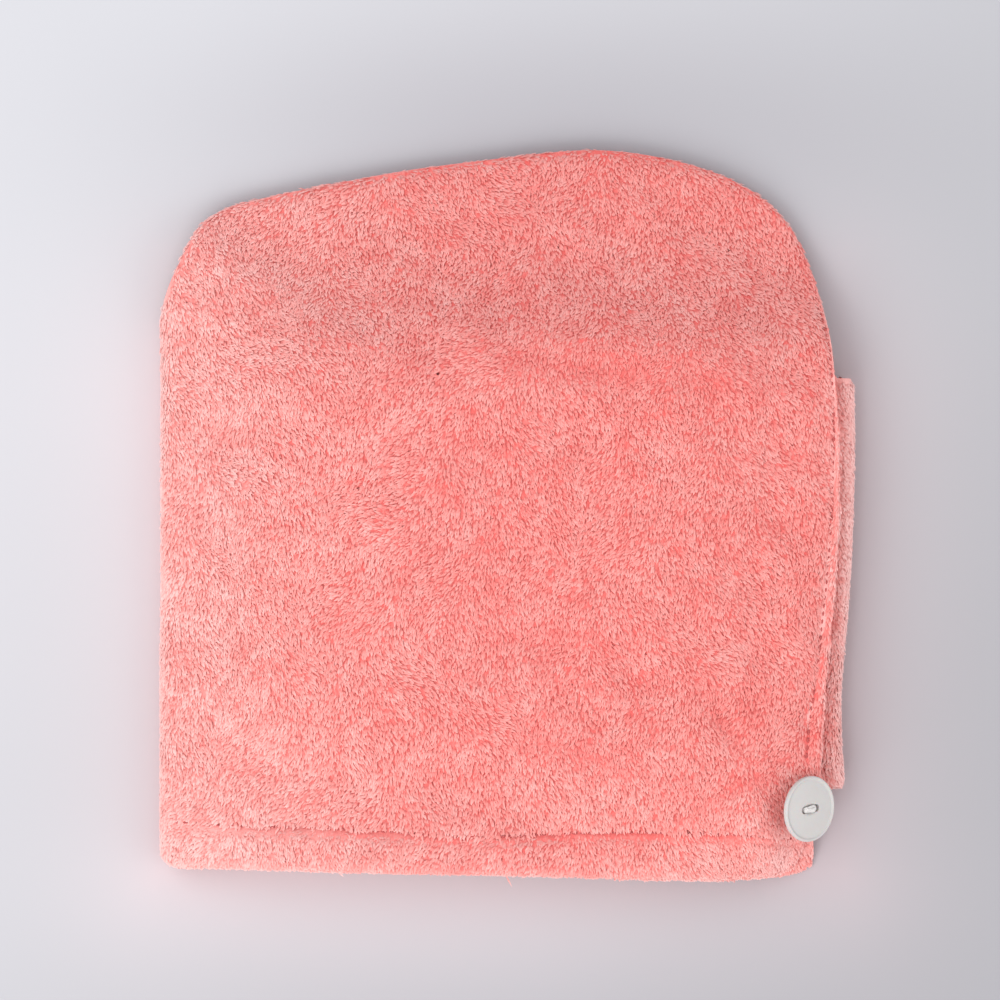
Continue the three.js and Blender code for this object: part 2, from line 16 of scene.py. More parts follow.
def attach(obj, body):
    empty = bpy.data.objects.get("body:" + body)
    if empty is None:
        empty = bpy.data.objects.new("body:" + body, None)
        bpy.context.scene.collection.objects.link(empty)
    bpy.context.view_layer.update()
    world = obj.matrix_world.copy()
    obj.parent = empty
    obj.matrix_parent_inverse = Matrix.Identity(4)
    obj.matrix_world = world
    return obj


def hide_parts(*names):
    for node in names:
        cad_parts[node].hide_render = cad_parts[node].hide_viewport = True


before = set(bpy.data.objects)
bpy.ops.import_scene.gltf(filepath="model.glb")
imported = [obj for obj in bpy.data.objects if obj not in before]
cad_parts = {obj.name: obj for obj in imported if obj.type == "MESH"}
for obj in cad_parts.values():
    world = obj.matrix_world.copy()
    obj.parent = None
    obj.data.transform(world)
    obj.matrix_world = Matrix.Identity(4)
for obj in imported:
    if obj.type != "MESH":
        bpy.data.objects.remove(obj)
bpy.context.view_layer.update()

log = logging.getLogger("hair_turban_towel")

MM = 0.001
SEED = 20816


# Shader maths


@dataclass(frozen=True)
class Wire:
    """A node's output that can be used in expressions."""

    tree: "NodeMaker"
    socket: Any

    def __add__(self, other: "Wire | float") -> "Wire":
        """Adds."""
        return self.tree.maths("ADD", self, other)

    def __sub__(self, other: "Wire | float") -> "Wire":
        """Subtracts."""
        return self.tree.maths("SUBTRACT", self, other)

    def __mul__(self, other: "Wire | float") -> "Wire":
        """Multiplies."""
        return self.tree.maths("MULTIPLY", self, other)

    def __pow__(self, other: float) -> "Wire":
        """Raises to a power."""
        return self.tree.maths("POWER", self, other)


class NodeMaker:
    """Makes the nodes of one material.

    Args:
        name: the material's name.
    """

    def __init__(self, name: str) -> None:
        """Starts a material that has a Principled shader only."""
        self.material = bpy.data.materials.new(name)
        self.material.use_nodes = True
        self.nodes = self.material.node_tree.nodes
        self.links = self.material.node_tree.links
        self.shader = self.nodes["Principled BSDF"]

    def node(
        self,
        kind: str,
        settings: dict[str, Any] | None = None,
        inputs: dict[str | int, Any] | None = None,
        output: str | int = 0,
    ) -> Wire:
        """Adds one node.

        Args:
            kind: its type, such as ShaderNodeTexNoise.
            settings: its properties, which are set first. stops sets a ramp's.
            inputs: values or wires for its sockets.
            output: which of its outputs is returned.

        Returns:
            That output as a wire.
        """
        made = self.nodes.new(kind)
        for key, value in (settings or {}).items():
            if key == "stops":
                self.set_stops(made.color_ramp, value)
            else:
                setattr(made, key, value)
        for key, value in (inputs or {}).items():
            self.feed(made.inputs[key], value)
        return Wire(self, made.outputs[output])

    def set_stops(self, ramp: Any, stops: Sequence[tuple[float, Sequence[float]]]) -> None:
        """Gives a colour ramp its stops.

        Args:
            ramp: the ramp.
            stops: each stop's place and linear colour.
        """
        while len(ramp.elements) < len(stops):
            ramp.elements.new(1.0)
        for element, (place, colour) in zip(ramp.elements, stops):
            element.position = place
            element.color = (*colour[:3], 1.0)

    def feed(self, socket: Any, value: Any) -> None:
        """Links a wire to a socket, or sets the socket's value.

        Args:
            socket: the input.
            value: a wire, a number or a tuple.
        """
        if isinstance(value, Wire):
            self.links.new(value.socket, socket)
        elif hasattr(socket.default_value, "__len__") and not hasattr(value, "__len__"):
            socket.default_value = [value] * len(socket.default_value)
        elif hasattr(value, "__len__") and len(value) == 3 and len(socket.default_value) == 4:
            socket.default_value = (*value, 1.0)
        else:
            socket.default_value = value

    def maths(self, operation: str, *values: Any) -> Wire:
        """Adds a Math node.

        Args:
            operation: such as ADD.
            values: its inputs, in order.

        Returns:
            Its result.
        """
        inputs = dict(enumerate(values))
        return self.node("ShaderNodeMath", {"operation": operation}, inputs)

    def mix(self, share: Any, first: Any, second: Any, blend: str = "MIX") -> Wire:
        """Mixes two colours.

        Args:
            share: 0 for the first, 1 for the second.
            first: a colour.
            second: a colour.
            blend: the way they are mixed.

        Returns:
            The mixed colour.
        """
        settings = {"data_type": "RGBA", "blend_type": blend}
        return self.node("ShaderNodeMix", settings, {0: share, 6: first, 7: second}, 2)

    def place(self, scale: Sequence[float] = (1, 1, 1)) -> Wire:
        """Object coordinates, scaled.

        Args:
            scale: per axis.

        Returns:
            The coordinates.
        """
        at = self.node("ShaderNodeTexCoord", output="Object")
        return self.node("ShaderNodeMapping", {}, {"Vector": at, "Scale": scale})

    def attribute(self, name: str) -> Wire:
        """A value that the mesh carries.

        Args:
            name: of the mesh's attribute.

        Returns:
            The value.
        """
        return self.node("ShaderNodeAttribute", {"attribute_name": name}, output="Fac")

    def times(self, colour: Any, factors: Sequence[float]) -> Wire:
        """Multiplies a colour.

        Args:
            colour: the colour.
            factors: for red, green and blue.

        Returns:
            The new colour.
        """
        return self.mix(1.0, colour, factors, "MULTIPLY")

    def noise(self, at: Wire, scale: float, detail: float = 2.0, rough: float = 0.5) -> Wire:
        """Noise from 0 to 1.

        Args:
            at: coordinates.
            scale: how many features to a metre.
            detail: octaves.
            rough: how strong each finer octave is.

        Returns:
            The noise.
        """
        inputs = {"Vector": at, "Scale": scale, "Detail": detail, "Roughness": rough}
        return self.node("ShaderNodeTexNoise", {}, inputs, "Fac")

    def band(self, value: Wire, low: float, high: float, to_low: float, to_high: float) -> Wire:
        """Maps a range smoothly on another one.

        Args:
            value: the input.
            low: its low end.
            high: its high end.
            to_low: the result at low.
            to_high: the result at high.

        Returns:
            The mapped value.
        """
        inputs = {"Value": value, 1: low, 2: high, 3: to_low, 4: to_high}
        return self.node("ShaderNodeMapRange", {"interpolation_type": "SMOOTHSTEP"}, inputs)

    def bump(self, height: Wire, strength: float, distance: float) -> None:
        """Feeds the shader's normal from a height.

        Args:
            height: from 0 to 1.
            strength: share of the bump that is used.
            distance: the height's size in metres.
        """
        inputs = {"Height": height, "Strength": strength, "Distance": distance}
        self.feed(self.shader.inputs["Normal"], self.node("ShaderNodeBump", {}, inputs))

    def finish(self, **values: Any) -> bpy.types.Material:
        """Sets the shader's sockets.

        Args:
            values: each socket's value or wire, its name with _ for spaces.

        Returns:
            The material.
        """
        for key, value in values.items():
            self.feed(self.shader.inputs[key.replace("_", " ")], value)
        return self.material


# Fields that vary smoothly through space


class Waves:
    """Smooth noise made of plane waves.

    Args:
        seed: fixes the waves.
        shortest: the shortest wavelength in metres.
        longest: the longest wavelength in metres.
        count: how many waves.
    """

    def __init__(self, seed: int, shortest: float, longest: float, count: int = 24) -> None:
        """Draws the waves."""
        rng = np.random.default_rng(seed)
        heading = rng.normal(size=(count, 3))
        heading /= np.linalg.norm(heading, axis=1)[:, None]
        length = rng.uniform(shortest, longest, count)
        self.pull = heading * (2 * math.pi / length)[:, None]
        self.phase = rng.uniform(0, 2 * math.pi, count)
        self.size = math.sqrt(2 / count)

    def at(self, points: np.ndarray) -> np.ndarray:
        """The noise at each point, mostly from -1 to 1.

        Args:
            points: places in metres, one to a row.

        Returns:
            A number for each.
        """
        return self.size * np.sin(points @ self.pull.T + self.phase).sum(1)


class Clumps:
    """Cells of a jittered grid, by which pile sticks together.

    Args:
        seed: fixes the cells.
        spacing: their size in metres.
    """

    def __init__(self, seed: int, spacing: float) -> None:
        """Keeps the seed and the size."""
        self.seed = seed
        self.spacing = spacing

    def draw(self, cells: np.ndarray, salt: int) -> np.ndarray:
        """A number from 0 to 1 for each cell.

        Args:
            cells: whole coordinates, one cell to a row.
            salt: which of the cell's numbers.

        Returns:
            The numbers.
        """
        whole = cells.astype(np.int64).astype(np.uint64)
        mixed = whole[:, 0] * np.uint64(73856093) ^ whole[:, 1] * np.uint64(19349663)
        mixed ^= whole[:, 2] * np.uint64(83492791) ^ np.uint64(self.seed * 7919 + salt * 104729)
        for _ in range(2):
            mixed = (mixed ^ (mixed >> np.uint64(33))) * np.uint64(0xFF51AFD7ED558CCD)
        mixed ^= mixed >> np.uint64(33)
        return (mixed & np.uint64(0xFFFFFF)).astype(float) / 0xFFFFFF

    def nearest(self, points: np.ndarray) -> tuple[np.ndarray, np.ndarray]:
        """The clump that each point belongs to.

        Args:
            points: places in metres.

        Returns:
            Each point's clump centre, and a number from 0 to 1 for that clump.
        """
        home = np.floor(points / self.spacing)
        best = np.full(len(points), np.inf)
        centre = np.zeros_like(points)
        tone = np.zeros(len(points))
        for step in np.ndindex(3, 3, 3):
            cell = home + np.array(step) - 1
            spread = np.stack([self.draw(cell, salt) for salt in (1, 2, 3)], axis=1)
            at = (cell + spread) * self.spacing
            gap = ((at - points) ** 2).sum(1)
            nearer = gap < best
            best[nearer] = gap[nearer]
            centre[nearer] = at[nearer]
            tone[nearer] = self.draw(cell[nearer], 4)
        return centre, tone


@dataclass(frozen=True)
class Dent:
    """A soft hollow or swelling on the upper side.

    Args:
        x: across, in mm.
        y: up the picture, in mm.
        long: its half length in mm.
        wide: its half width in mm.
        turn: of its length from +X, in degrees.
        depth: in mm, negative where it swells.
    """

    x: float
    y: float
    long: float
    wide: float
    turn: float
    depth: float

    def at(self, points: np.ndarray) -> np.ndarray:
        """How deep it is at each point.

        Args:
            points: places in metres.

        Returns:
            The depths in metres.
        """
        angle = math.radians(self.turn)
        across = points[:, 0] / MM - self.x
        up = points[:, 1] / MM - self.y
        along = (across * math.cos(angle) + up * math.sin(angle)) / self.long
        aside = (up * math.cos(angle) - across * math.sin(angle)) / self.wide
        return self.depth * MM * np.exp(-(along**2) - aside**2)


@dataclass(frozen=True)
class SeamLine:
    """A row of stitches on the upper side, seen from above.

    Args:
        points: its corners in mm.
        step: from one stitch to the next, in mm.
        pull: how hard the thread draws the cloth in.
        reach: how far from the row that is felt, in mm.
        trough: half the width of the trough along the row, in mm.
        dimple: the radius of the dimple at each stitch, in mm.
    """

    points: tuple[tuple[float, float], ...]
    step: float = 2.7
    pull: float = 1.0
    reach: float = 6.0
    trough: float = 1.3
    dimple: float = 1.1

    def distance(self, points: np.ndarray) -> np.ndarray:
        """How far each point is from the row, seen from above.

        Args:
            points: places in metres.

        Returns:
            The distances in metres.
        """
        at = points[:, :2]
        best = np.full(len(at), np.inf)
        corners = np.array(self.points) * MM
        for start, end in zip(corners[:-1], corners[1:]):
            run = end - start
            share = ((at - start) @ run / (run @ run)).clip(0, 1)
            gap = np.linalg.norm(at - start - share[:, None] * run, axis=1)
            best = np.minimum(best, gap)
        return best

    def pulled(self, points: np.ndarray) -> np.ndarray:
        """How much the thread pulls each point down, most at the stitches.

        Args:
            points: places in metres.

        Returns:
            Shares, from 0 to 1.
        """
        away = self.distance(points)
        near = away < self.reach * MM
        spots = np.array([middle for middle, _ in self.places()])
        found = np.zeros(len(points))
        gaps = points[near][:, None, :2] - spots[None]
        closest = np.sqrt((gaps**2).sum(2).min(1)) / (self.dimple * MM)
        line = np.exp(-((away[near] / (self.trough * MM)) ** 2))
        found[near] = self.pull * (0.35 * line + 0.65 * np.exp(-(closest**2)))
        return found

    def places(self) -> list[tuple[Vector, Vector]]:
        """Each stitch's middle and direction, seen from above.

        Returns:
            The pairs, in metres.
        """
        found = []
        rest = 0.0
        corners = [Vector((x, y)) * MM for x, y in self.points]
        for start, end in zip(corners[:-1], corners[1:]):
            run = end - start
            length = run.length
            while rest < length:
                found.append((start + run * (rest / length), run.normalized()))
                rest += self.step * MM
            rest -= length
        return found


# Cloth


def mesh_object(name: str, mesh: bpy.types.Mesh) -> bpy.types.Object:
    """Puts a mesh in the scene.

    Args:
        name: the object's name.
        mesh: its mesh.

    Returns:
        The object, at the origin.
    """
    made = bpy.data.objects.new(name, mesh)
    bpy.context.scene.collection.objects.link(made)
    return made


def finished(work: bmesh.types.BMesh, name: str) -> bpy.types.Object:
    """Turns a bmesh into a smooth shaded object.

    Args:
        work: the bmesh, which is freed.
        name: the object's name.

    Returns:
        The object.
    """
    mesh = bpy.data.meshes.new(name)
    work.to_mesh(mesh)
    work.free()
    mesh.shade_smooth()
    return mesh_object(name, mesh)


def with_modifiers(piece: bpy.types.Object) -> None:
    """Applies a piece's modifiers.

    Args:
        piece: the object.
    """
    graph = bpy.context.evaluated_depsgraph_get()
    mesh = bpy.data.meshes.new_from_object(piece.evaluated_get(graph))
    piece.modifiers.clear()
    piece.data = mesh


def vertex_values(mesh: bpy.types.Mesh, name: str) -> np.ndarray:
    """Reads a vector of each vertex.

    Args:
        mesh: the mesh.
        name: co or normal.

    Returns:
        The vectors, one to a row.
    """
    values = np.empty(len(mesh.vertices) * 3)
    mesh.vertices.foreach_get(name, values)
    return values.reshape(-1, 3)


@dataclass
class Surface:
    """A cloth's triangles as arrays.

    Args:
        corners: the three places of each triangle.
        normals: the three smooth normals of each triangle.
        centres: the middle of each triangle.
        facing: its mean normal.
        areas: its area.
    """

    corners: np.ndarray
    normals: np.ndarray
    centres: np.ndarray = field(init=False)
    facing: np.ndarray = field(init=False)
    areas: np.ndarray = field(init=False)

    def __post_init__(self) -> None:
        """Works out the middles, the directions and the areas."""
        self.centres = self.corners.mean(1)
        mean = self.normals.mean(1)
        self.facing = mean / np.linalg.norm(mean, axis=1)[:, None].clip(1e-9)
        side = self.corners[:, 1:] - self.corners[:, :1]
        self.areas = np.linalg.norm(np.cross(side[:, 0], side[:, 1]), axis=1) / 2

    @classmethod
    def of(cls, piece: bpy.types.Object) -> "Surface":
        """Reads a piece.

        Args:
            piece: the object.

        Returns:
            Its surface.
        """
        mesh = piece.data
        mesh.calc_loop_triangles()
        index = np.empty(len(mesh.loop_triangles) * 3, int)
        mesh.loop_triangles.foreach_get("vertices", index)
        index = index.reshape(-1, 3)
        return cls(vertex_values(mesh, "co")[index], vertex_values(mesh, "normal")[index])


def painted_sheen_share(points: np.ndarray, normals: np.ndarray) -> np.ndarray:
    """How much painted sheen and light the pile gets, which is most at the folds and towards the
    left, the hem and the right-hand rim.

    Args:
        points: places in metres.
        normals: the cloth's normals there.

    Returns:
        Shares, from 0 up.
    """
    share = 1.1 * (1 - normals[:, 2]).clip(0, 1.1)
    share += 0.6 * ((-points[:, 0] - 5 * MM) / (110 * MM)).clip(0, 1) ** 1.2
    share += 0.4 * ((-points[:, 1] - 70 * MM) / (55 * MM)).clip(0, 1) ** 1.3
    return share + 0.9 * ((points[:, 0] - 105 * MM) / (10 * MM)).clip(0, 1)


@dataclass
class ClothPanel:
    """One plush panel of the strip, folded as its CAD node is.

    Args:
        node: the node that it stands for.
        name: the piece's name.
        backing: how far the woven backing lies below the pile's top, in metres.
        dents: hollows in its upper side.
        seams: rows of stitches that pull it in.
        groove: how deep they pull it, in metres.
        crumple: how high its small waves are, in metres.
        lowest_top: only what is higher than this is dented, in metres.
    """

    node: str
    name: str
    backing: float = 0.7 * MM
    dents: tuple[Dent, ...] = ()
    seams: tuple[SeamLine, ...] = ()
    groove: float = 0.8 * MM
    crumple: float = 0.35 * MM
    lowest_top: float = 9 * MM

    def build(self) -> bpy.types.Object:
        """Rounds the node's shape, sinks it below the pile and dents it.

        Returns:
            The cloth.
        """
        work = bmesh.new()
        work.from_mesh(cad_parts[self.node].data)
        bmesh.ops.remove_doubles(work, verts=work.verts, dist=0.002 * MM)
        bmesh.ops.join_triangles(
            work, faces=work.faces, angle_face_threshold=0.7, angle_shape_threshold=0.9
        )
        piece = finished(work, self.name)
        rounding = piece.modifiers.new("rounding", "SUBSURF")
        rounding.levels = rounding.render_levels = 2
        with_modifiers(piece)
        mesh = piece.data
        places, turned = vertex_values(mesh, "co"), vertex_values(mesh, "normal")
        mesh.vertices.foreach_set("co", self.sunk(places, turned).ravel())
        # The cloth carries its painted sheen and light as an attribute, which paints its colour
        # paler.
        painted_sheen_layer = mesh.attributes.new("brushed", "FLOAT", "POINT")
        painted_sheen_layer.data.foreach_set("value", painted_sheen_share(places, turned))
        mesh.shade_smooth()
        mesh.update()
        return piece

    def sunk(self, places: np.ndarray, turned: np.ndarray) -> np.ndarray:
        """Moves the cloth below the pile.

        Args:
            places: its vertices.
            turned: their normals.

        Returns:
            The new places.
        """
        moved = places - self.backing * turned
        upper = (turned[:, 2] > 0.1) & (places[:, 2] > self.lowest_top)
        fall = sum((dent.at(places) for dent in self.dents), np.zeros(len(places)))
        fine = Waves(SEED + 5, 9 * MM, 26 * MM).at(places) * self.crumple
        for seam in self.seams:
            fine = fine + self.groove * seam.pulled(places)
        moved[:, 2] -= np.where(upper, fall + fine, 0) * turned[:, 2].clip(0, 1)
        return moved


class Side(Enum):
    """Where pile grows."""

    UPPER = "upper"
    UNDER = "under"


@dataclass
class Pile:
    """Tufts of pile on the cloth panels.

    Args:
        side: which faces it grows on.
        count: how many tufts.
        length: of a tuft along the cloth, in metres.
        height: of a tuft above the backing, in metres.
        width: of a tuft, in metres.
        seams: rows of stitches that it parts at, and darkens with painted shade.
        dents: hollows where it lies lower and is darker with painted shade.
        most: tufts in a piece.
        softness: how much a tuft takes its light as the cloth below it does.
        sky: how far is looked for what lies over the cloth, in metres.
        open_room: with more room than this the pile is in the open air, in metres.
        mouth_room: pile inside the mouth has at least this room, in metres.
        mouth_end: how far in the mouth's pile goes, on the Y axis in metres.
        clump: the size of a clump of tufts, in metres.
        gathered: how far a tip is drawn to its clump's middle, as a share.
        root_depth: how deep in the backing a tuft starts, in metres.
        parting: how far from a row of stitches tufts are left out, in metres.
    """

    side: Side
    count: int
    length: float
    height: float
    width: float
    seams: tuple[SeamLine, ...] = ()
    dents: tuple[Dent, ...] = ()
    most: int = 32000
    softness: float = 0.85
    sky: float = 60 * MM
    open_room: float = 20 * MM
    mouth_room: float = 2.5 * MM
    mouth_end: float = -70 * MM
    clump: float = 2.9 * MM
    gathered: float = 0.22
    root_depth: float = 0.3 * MM
    parting: float = 0.6 * MM

    def tuft(self) -> tuple[np.ndarray, np.ndarray]:
        """One kite-shaped tuft with a hump in its middle, closed below.

        Returns:
            Its five vertices, as shares of its width, height and length, and its six triangles.
        """
        work = bmesh.new()
        bmesh.ops.create_cone(
            work, cap_ends=True, cap_tris=True, segments=3, radius1=1, radius2=0, depth=1
        )
        bmesh.ops.remove_doubles(work, verts=work.verts, dist=1e-4)
        bmesh.ops.triangulate(work, faces=work.faces)
        order = sorted(work.verts, key=lambda v: (round(v.co.z, 3), round(v.co.y, 3), v.co.x))
        sides, root = ((-1.0, -0.4, 0.6), (1.0, -0.4, 0.6)), (0.0, 0.0, 0.0)
        tip, hump = (0.0, 0.3, 1.0), (0.0, 0.0, 0.5)
        for vert, place in zip(order, (*sides, root, tip, hump), strict=True):
            vert.co = place
        bmesh.ops.recalc_face_normals(work, faces=work.faces)
        work.verts.index_update()
        points = np.array([vert.co for vert in work.verts])
        faces = np.array([[vert.index for vert in face.verts] for face in work.faces])
        work.free()
        return points, faces

    def room(self, cloth: Surface, solids: BVHTree) -> np.ndarray:
        """How far each face is from what lies over it.

        Args:
            cloth: the surface.
            solids: all the cloth.

        Returns:
            The distances in metres, at most the sky's.
        """
        found = np.full(len(cloth.areas), self.sky)
        starts = cloth.centres + cloth.facing * 0.3 * MM
        for at, (start, way) in enumerate(zip(starts.tolist(), cloth.facing.tolist())):
            hit = solids.ray_cast(Vector(start), Vector(way), self.sky)
            if hit[0] is not None:
                found[at] = hit[3]
        return found

    def grows(self, cloth: Surface, room: np.ndarray) -> np.ndarray:
        """The share of its full pile that each face has.

        Args:
            cloth: the surface.
            room: how far each face is from what lies over it.

        Returns:
            The shares, from 0 to 1.
        """
        open_air = room > self.open_room
        upward = cloth.facing[:, 2] > -0.25
        if self.side is Side.UPPER:
            return np.where(open_air & upward, 1.0, 0.0)
        mouth = cloth.centres[:, 1] < self.mouth_end
        inside = (room > self.mouth_room) & mouth & ~open_air
        return np.where(open_air & ~upward, 1.0, np.where(inside, 0.5, 0.0))

    def lean(self, roots: np.ndarray, normals: np.ndarray, rng: Any) -> np.ndarray:
        """Which way each tuft lies.

        Args:
            roots: where the tufts stand.
            normals: the cloth's normals there.
            rng: the source of chance.

        Returns:
            Directions along the cloth, of length 1.
        """
        swirl = 0.3 * Waves(SEED + 1, 45 * MM, 110 * MM).at(roots)
        swirl += 0.28 * Waves(SEED + 2, 14 * MM, 34 * MM).at(roots)
        swirl += rng.normal(0, 0.26, len(roots))
        flat = np.stack([np.sin(swirl) + 0.12, -np.cos(swirl), -0.35 + 0 * swirl], axis=1)
        if self.side is Side.UNDER:
            inward = -roots / np.linalg.norm(roots[:, :2], axis=1)[:, None].clip(1e-6)
            turn = np.arctan2(inward[:, 1], inward[:, 0]) + swirl
            flat = np.stack([np.cos(turn), np.sin(turn), 0 * turn], axis=1)
        flat -= (flat * normals).sum(1)[:, None] * normals
        return flat / np.linalg.norm(flat, axis=1)[:, None].clip(1e-6)

    def plant(self, cloths: Sequence[Surface], solids: BVHTree) -> list[bpy.types.Object]:
        """Grows the pile.

        Args:
            cloths: the surfaces that it may grow on.
            solids: all the cloth, which hides some of it.

        Returns:
            The pieces.
        """
        rng = np.random.default_rng(SEED + len(self.side.value))
        rooms = [self.room(cloth, solids) for cloth in cloths]
        shares = [self.grows(cloth, room) for cloth, room in zip(cloths, rooms)]
        corners = np.concatenate([cloth.corners for cloth in cloths])
        normals = np.concatenate([cloth.normals for cloth in cloths])
        room = np.concatenate(rooms)
        steep = np.concatenate([1 - np.abs(c.facing[:, 2]) for c in cloths])
        weight = np.concatenate([c.areas for c in cloths]) * np.concatenate(shares)
        weight *= 1 + 2 * steep
        spots = (np.arange(self.count) + rng.random(self.count)) / self.count
        total = np.cumsum(weight)
        chosen = np.searchsorted(total, spots * total[-1]).clip(0, len(weight) - 1)
        log.info("pile %s on %.0f square cm", self.side.value, weight.sum() * 1e4)
        u, v = rng.random((2, self.count))
        over = u + v > 1
        u, v = np.where(over, 1 - u, u), np.where(over, 1 - v, v)
        share = np.stack([1 - u - v, u, v], axis=1)[:, :, None]
        roots = (corners[chosen] * share).sum(1)
        up = (normals[chosen] * share).sum(1)
        up /= np.linalg.norm(up, axis=1)[:, None].clip(1e-9)
        keep = self.parted(roots, up, rng)
        return self.joined(roots[keep], up[keep], room[chosen][keep], solids, rng)

    def parted(self, roots: np.ndarray, up: np.ndarray, rng: Any) -> np.ndarray:
        """Leaves tufts out along the rows of stitches.

        Args:
            roots: where the tufts stand.
            up: the cloth's normals there.
            rng: the source of chance.

        Returns:
            Which tufts stay.
        """
        chance = np.ones(len(roots))
        for seam in self.seams:
            near = np.exp(-((seam.distance(roots) / self.parting) ** 2))
            chance -= near * (up[:, 2] > 0.2) * 0.5 * seam.pull
        return rng.random(len(roots)) < chance

    def held_down(
        self, tips: np.ndarray, up: np.ndarray, solids: BVHTree
    ) -> tuple[np.ndarray, np.ndarray]:
        """Keeps the tips close to the cloth where it turns away from them.

        Args:
            tips: where the tufts would end.
            up: the cloth's normals at their roots.
            solids: all the cloth.

        Returns:
            Places on the cloth or just over it, and the way up from there.
        """
        held, over = tips.copy(), up.copy()
        for at, tip in enumerate(tips.tolist()):
            found = solids.find_nearest(Vector(tip), 6 * MM)
            if found[0] is not None and found[3] > 0.1 * MM:
                held[at] = found[0]
                over[at] = found[1]
        return held, over

    def joined(
        self, roots: np.ndarray, up: np.ndarray, room: np.ndarray, solids: BVHTree, rng: Any
    ) -> list[bpy.types.Object]:
        """Shapes the tufts and joins them in a few pieces.

        Args:
            roots: where the tufts stand.
            up: the cloth's normals there.
            room: how much room they have above them.
            solids: all the cloth.
            rng: the source of chance.

        Returns:
            The pieces.
        """
        count = len(roots)
        way = self.lean(roots, up, rng)
        centre, clump_tone = Clumps(SEED + 3, self.clump).nearest(roots)
        dented = sum((dent.at(roots) for dent in self.dents), np.zeros(count)) / MM
        seam = sum((s.pulled(roots) for s in self.seams), np.zeros(count))
        low = 1 - 0.28 * dented.clip(-0.6, 1.6) - 0.6 * np.minimum(seam, 1) * (up[:, 2] > 0.2)
        tight = (room / (5 * MM)).clip(0.25, 1)
        reach = self.length * rng.lognormal(0, 0.25, count) * tight
        lift = self.height * rng.lognormal(0, 0.25, count) * low * tight
        stout = self.width * rng.lognormal(0, 0.18, count) / 2
        tips = roots + way * reach[:, None]
        pull = centre + way * self.length * 0.7 - tips
        pull -= (pull * up).sum(1)[:, None] * up
        tips += pull * self.gathered
        tips, over = self.held_down(tips, up, solids)
        lies = (over * up).sum(1) > -0.3
        tips += over * lift[:, None]
        points, faces = self.tuft()
        along = points[:, 2]
        way = tips - roots
        way /= np.linalg.norm(way, axis=1)[:, None].clip(1e-9)
        lies &= np.abs((way * up).sum(1)) < 0.85
        aside = np.cross(up, way)
        aside /= np.linalg.norm(aside, axis=1)[:, None].clip(1e-9)
        base = roots - up * self.root_depth
        crest = np.sin(along * math.pi) * 0.5
        places = (
            base[:, None]
            + (tips - base)[:, None] * along[None, :, None]
            + up[:, None] * (lift[:, None] * crest)[..., None]
            + aside[:, None] * (stout[:, None] * points[:, 0])[..., None]
            + up[:, None] * (stout[:, None] * points[:, 1])[..., None]
        )
        floor = rng.uniform(0.02, 0.35, count)[:, None] * MM
        places[:, :, 2] = np.maximum(places[:, :, 2], floor)
        tone = 0.5 * clump_tone + 0.5 * rng.random(count)
        # Painted sheen and light make the tufts paler; painted shade darkens them in the dents and
        # along the seams.
        tone += painted_sheen_share(roots, up) - 0.35 * dented.clip(-0.5, 1) - 0.3 * seam
        made = []
        pieces = max(1, math.ceil(count / self.most))
        order = np.argsort(roots[:, 1], kind="stable")
        order = order[lies[order]]
        for number, part in enumerate(np.array_split(order, pieces), 1):
            name = f"pile_{self.side.value}_{number}"
            made.append(self.piece(name, places[part], up[part], (points, faces), tone[part]))
        return made

    def piece(
        self,
        name: str,
        places: np.ndarray,
        up: np.ndarray,
        shape: tuple[np.ndarray, np.ndarray],
        tone: np.ndarray,
    ) -> bpy.types.Object:
        """Joins some tufts in one mesh.

        Args:
            name: the piece's name.
            places: each tuft's vertices.
            up: the cloth's normal at each tuft.
            shape: one tuft's vertices and triangles.
            tone: each tuft's shade of colour, which holds painted sheen, light and shade.

        Returns:
            The piece, with the attributes rise and tone and a map with a cell for each tuft.
        """
        points, faces = shape
        across_tuft, along = points[:, 0], points[:, 2]
        count, size = places.shape[:2]
        corners = (faces[None] + np.arange(count)[:, None, None] * size).reshape(-1)
        mesh = bpy.data.meshes.new(name)
        mesh.vertices.add(count * size)
        mesh.vertices.foreach_set("co", places.ravel())
        mesh.loops.add(len(corners))
        mesh.loops.foreach_set("vertex_index", corners)
        mesh.polygons.add(len(corners) // 3)
        mesh.polygons.foreach_set("loop_start", np.arange(0, len(corners), 3))
        mesh.update(calc_edges=True)
        mesh.shade_smooth()
        rise = mesh.attributes.new("rise", "FLOAT", "POINT")
        rise.data.foreach_set("value", np.tile(along, count))
        shade = mesh.attributes.new("tone", "FLOAT", "POINT")
        shade.data.foreach_set("value", np.repeat(tone, size))
        across = math.ceil(math.sqrt(count))
        cell = np.stack([np.arange(count) % across, np.arange(count) // across], axis=1)
        spot = np.stack([0.5 + 0.4 * across_tuft, 0.1 + 0.8 * along], axis=1)
        uv = (cell[:, None] + spot[None]).reshape(-1, 2) / across
        layer = mesh.uv_layers.new(name="OFBake")
        layer.data.foreach_set("uv", uv[corners].ravel())
        sides = places[:, faces]
        own = np.cross(sides[:, :, 1] - sides[:, :, 0], sides[:, :, 2] - sides[:, :, 0])
        own /= np.linalg.norm(own, axis=2)[:, :, None].clip(1e-12)
        faced = (own * up[:, None]).sum(2)[:, :, None]
        share = self.softness * (up[:, None, 2:] * 2.5).clip(0.2, 1) * (faced > 0.05)
        soft = own * (1 - share) + up[:, None] * share
        soft /= np.linalg.norm(soft, axis=2)[:, :, None].clip(1e-6)
        mesh.normals_split_custom_set(np.repeat(soft, 3, axis=1).reshape(-1, 3).tolist())
        return mesh_object(name, mesh)


# Dressing


